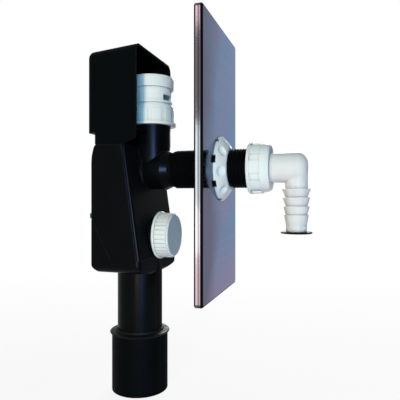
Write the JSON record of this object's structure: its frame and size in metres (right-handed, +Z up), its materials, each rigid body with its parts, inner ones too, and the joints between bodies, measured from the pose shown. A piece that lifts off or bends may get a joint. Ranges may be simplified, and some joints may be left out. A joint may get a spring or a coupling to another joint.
{
  "type": "washing machine standpipe trap",
  "caption": "Concealed washing machine trap: black tank with outlet spigot, air valve under a hood, threaded inlet through a steel cover plate, barbed hose elbow and cleaning cap.",
  "frame": {"origin": "on the axis of the outlet spigot, at its lower end", "axes": "+Z up along the outlet, +X out of the wall along the inlet pipe, +Y along the wall"},
  "size_m": [0.187, 0.11, 0.3176],
  "materials": {
    "black_plastic": "black moulded polypropylene, satin",
    "white_plastic": "white moulded polypropylene, semi-gloss",
    "black_rubber": "black rubber",
    "stainless": "brushed stainless sheet, brush marks upright"
  },
  "bodies": {
    "trap": {"trap_body": "black_plastic", "trap_front": "black_plastic", "outlet_adapter": "black_plastic", "valve_hood": "black_plastic", "adapter_seal": "black_rubber", "valve_seal_ring": "black_rubber", "elbow_washer": "black_rubber", "valve_nut": "white_plastic", "valve_body": "white_plastic", "valve_cap": "white_plastic", "plate_backnut": "white_plastic", "union_nut": "white_plastic", "cover_plate": "stainless"},
    "valve_disc": {"valve_disc": "white_plastic", "valve_diaphragm": "black_rubber"},
    "nozzle": {"hose_elbow": "white_plastic", "nozzle_plug": "black_rubber"},
    "cap_washer": {"cap_washer": "black_rubber"},
    "cleaning_cap": {"cleaning_cap": "white_plastic"}
  },
  "joints": [
    {"name": "valve_lift", "type": "slide", "parent": "trap", "child": "valve_disc", "axis": [0, 0, 1], "range_m": [0, 0.004]},
    {"name": "nozzle_swivel", "type": "hinge", "parent": "trap", "child": "nozzle", "pos_m": [0.115, 0, 0.196], "axis": [1, 0, 0], "continuous": true},
    {"name": "cap_travel", "type": "slide", "parent": "trap", "child": "cap_washer", "axis": [1, 0, 0], "range_m": [0, 0.016]},
    {"name": "cap_turn", "type": "hinge", "parent": "cap_washer", "child": "cleaning_cap", "pos_m": [0.03, 0, 0.138], "axis": [1, 0, 0], "range_deg": [0, 1440]}
  ],
  "couplings": [
    {"joint": "cap_travel", "follows": "cap_turn", "m_per_rad": 0.0006366}
  ]
}
